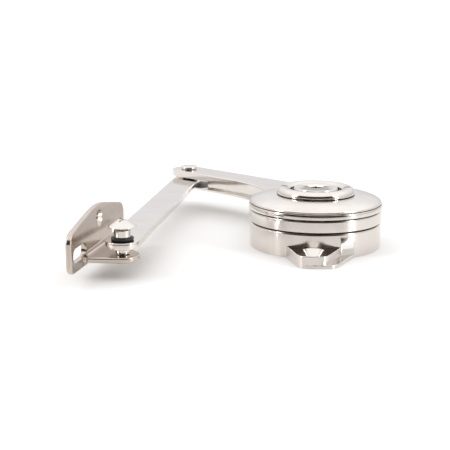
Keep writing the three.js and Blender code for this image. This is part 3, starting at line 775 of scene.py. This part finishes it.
def mounting_bracket():
    half = 33.7
    end_top, peak = 21.6, bracket_high.z / mm
    plate = upright_shape("bracket_plate", [
        (PLATE_MIDDLE - half, PLATE_FOOT, 3.5), (PLATE_MIDDLE + half, PLATE_FOOT, 3.5),
        (PLATE_MIDDLE + half, end_top, 4),
        (PLATE_MIDDLE + 5, peak, 5), (PLATE_MIDDLE - 5, peak, 5), (PLATE_MIDDLE - half, end_top, 4),
    ], SHEET, PLATE_FACE - SHEET)
    rolled(plate, 0.75, 5, across_plate)
    tip = [
        (7 * math.cos(math.radians(a)), 7 * math.sin(math.radians(a)), 0) for a in range(-80, 49, 8)
    ]
    tongue = drawn_plate("tongue", [
        (PLATE_FACE - 1.2, 24, 0), (PLATE_FACE - 1.2, -9.2, 0), *tip, (PLATE_FACE + 2, 23, 0),
    ], TONGUE_FOOT, TONGUE_FOOT + SHEET)
    rolled(tongue, 0.75, 5, rim)
    tongue_top = TONGUE_FOOT + SHEET
    bend = [(PLATE_FACE - 0.5, tongue_top - 0.5), (PLATE_FACE + 2, tongue_top - 0.5)]
    for i in range(7):
        angle = math.pi / 2 * i / 6
        bend.append((PLATE_FACE + 2 - 2 * math.sin(angle), tongue_top + 2 - 2 * math.cos(angle)))
    bend.append((PLATE_FACE - 0.5, tongue_top + 2))
    fillet = drawn_plate("fillet", [(x, z, 0) for x, z in bend], 0, 31.5)
    put(fillet, (math.pi / 2, 0, 0), (0, 23 * mm, 0))
    combine(plate, tongue, "UNION")
    combine(plate, fillet, "UNION")
    for side in (-1, 1):
        combine(plate, rounded_slot(PLATE_MIDDLE + side * 23.7, 12.6, 15.5, 5.8), "DIFFERENCE")
    combine(plate, turned("hole", [(0, 5), (2.4, 5), (2.4, 15), (0, 15)], (0, 0), 48), "DIFFERENCE")
    relief = turned("relief", [(0, 5), (1.1, 5), (1.1, 15), (0, 15)], ((PLATE_FACE + 1) * mm, -9.6 * mm), 24)
    combine(plate, relief, "DIFFERENCE")
    countersink = turned("sink", [
        (0, 0), (2.4, 0), (2.4, SHEET - 1.3), (4.4, SHEET + 0.7), (4.4, SHEET + 3), (0, SHEET + 3),
    ], (PLATE_MIDDLE * mm, 21.6 * mm), 64)
    put(countersink, UP, ((PLATE_FACE - SHEET) * mm, 0, 0))
    combine(plate, countersink, "DIFFERENCE")
    eased(plate, 0.12, 2, 45)
    return put(plate, (0, 0, BRACKET_TURN), (pivot.x, pivot.y, 0))


# A rougher, brushed nickel for the bracket. Its tint darkens and browns it as painted shade, for the darker things its
# faces mirror.
brushed_shaded_nickel = nickel("brushed_shaded_nickel", polished_lay, 0.17, tint=(0.76, 0.71, 0.67))
finish_piece(mounting_bracket(), brushed_shaded_nickel, "bracket", "polished_nickel", "mounting_bracket")

# ---------------------------------------------------------------- pivot stud
# One turned piece, riveted under the tongue, with a slim core and a mushroom head that
# keeps the link on. The head's top has a small flat with a slot across it.


def pivot_stud():
    low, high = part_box("pivot_stud")
    foot, top = low.z / mm, high.z / mm
    stud = turned("stud", [
        (0, foot), (3.2, foot), (3.5, foot + 0.8), (2.1, foot + 0.8), (2.1, 20.1), (3, 20.1), (4.4, 20.5),
        (5.6, 20.9), (5.85, 21.2), (5.6, 21.55), (4.8, 22.05), (3.9, 22.55), (3.2, 22.95), (2.6, 23.35),
        (2.3, 23.6), (2.0, top), (0, top),
    ], pivot.xy, 96)
    slot = drawn_plate("slot", [(-2.6, -0.35, 0), (2.6, -0.35, 0), (2.6, 0.35, 0), (-2.6, 0.35, 0)], top - 0.6, top + 1)
    put(slot, (0, 0, math.radians(80)), (pivot.x, pivot.y, 0))
    combine(stud, slot, "DIFFERENCE")
    return eased(stud, 0.08, 2, 40)


finish_piece(pivot_stud(), polished_nickel, "bracket", "polished_nickel", "pivot_stud")

# ---------------------------------------------------------------- spacers and washer
# Plated sleeves over and under the link, and a black nylon washer that keeps the metal
# from rubbing.


def pin_collar(name, inner, outer, node):
    """A plain collar on the stud, as high as its CAD node."""
    low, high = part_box(node)
    collar = turned(name, [
        (inner, low.z / mm), (outer, low.z / mm), (outer, high.z / mm), (inner, high.z / mm),
    ], pivot.xy, 72)
    return eased(collar, 0.12, 2)


def nylon(name):
    """Moulded black nylon with a fine spark-eroded skin."""
    resin = Graph(bpy.data.materials.new(name))
    where = resin.node("TexCoord", output="Object")
    skin = resin.node("TexNoise", {}, {"Vector": where, "Scale": 4200, "Detail": 3})
    tone = resin.node("TexNoise", {}, {"Vector": where, "Scale": 500, "Detail": 2})
    colour = resin.node(
        "ValToRGB", {"stops": [(0.3, (0.012, 0.012, 0.016)), (0.7, (0.03, 0.028, 0.034))]}, {0: tone}
    )
    bump = resin.node("Bump", {}, {"Strength": 0.6, "Distance": 0.02 * mm, "Height": skin})
    rough = 0.4 + 0.2 * skin
    shader = resin.node(
        "BsdfPrincipled", {}, {"Base Color": colour, "Roughness": rough, "Normal": bump}
    )
    resin.node("OutputMaterial", {}, {"Surface": shader})
    return resin.owner


black_nylon = nylon("black_nylon")
finish_piece(
    pin_collar("under_sleeve", 2.4, 2.9, "lower_spacer"), turned_nickel, "bracket", "polished_nickel", "lower_spacer",
)
finish_piece(
    pin_collar("over_sleeve", 2.4, 3.4, "upper_sleeve"), turned_nickel, "bracket", "polished_nickel", "upper_sleeve",
)
finish_piece(
    pin_collar("nylon_collar", 2.4, 4.6, "nylon_washer"), black_nylon, "bracket", "black_nylon", "nylon_washer",
)

# ---------------------------------------------------------------- inner pieces
# Damper, spring, spindle, bush and rivets inside the drum. They keep their engineering
# shapes and take the finishes of plain turned, drawn and moulded pieces.


def dress(material, *nodes):
    """Gives CAD nodes a material."""
    for node in nodes:
        piece = frame["nodes"][node]
        piece.data.materials.clear()
        piece.data.materials.append(material)


def plain_metal(name, dark, light, roughness):
    """A turned or drawn metal with a mottled, slightly oily surface."""
    metal = Graph(bpy.data.materials.new(name))
    where = metal.node("TexCoord", output="Object")
    mottle = metal.node("TexNoise", {}, {"Vector": where, "Scale": 400, "Detail": 4, "Roughness": 0.65})
    colour = metal.node("ValToRGB", {"stops": [(0.3, dark), (0.7, light)]}, {0: mottle})
    fine = metal.node("TexNoise", {}, {"Vector": where, "Scale": 3500, "Detail": 2})
    bump = metal.node("Bump", {}, {"Strength": 0.5, "Distance": 0.01 * mm, "Height": fine})
    rough = roughness + 0.15 * mottle
    shader = metal.node(
        "BsdfPrincipled",
        {},
        {"Base Color": colour, "Metallic": 1.0, "Roughness": rough, "Normal": bump},
    )
    metal.node("OutputMaterial", {}, {"Surface": shader})
    return metal.owner


satin_nickel = plain_metal("satin_nickel", (0.55, 0.53, 0.5), (0.7, 0.68, 0.65), 0.25)
spring_steel = plain_metal("spring_steel", (0.18, 0.18, 0.19), (0.36, 0.36, 0.37), 0.3)
bearing_bronze = plain_metal("bearing_bronze", (0.42, 0.26, 0.12), (0.66, 0.45, 0.24), 0.35)
dress(satin_nickel, "damper_cup", "damper_lid", "spindle", "damper_rotor")
dress(satin_nickel, "clamp_rivet_1", "clamp_rivet_2", "clamp_rivet_3")
dress(spring_steel, "closing_spring", "stop_pin")
dress(bearing_bronze, "spindle_bush")
dress(black_nylon, "glide_ring", "elbow_bush")
dress(nylon("seal_rubber"), "spindle_seal")
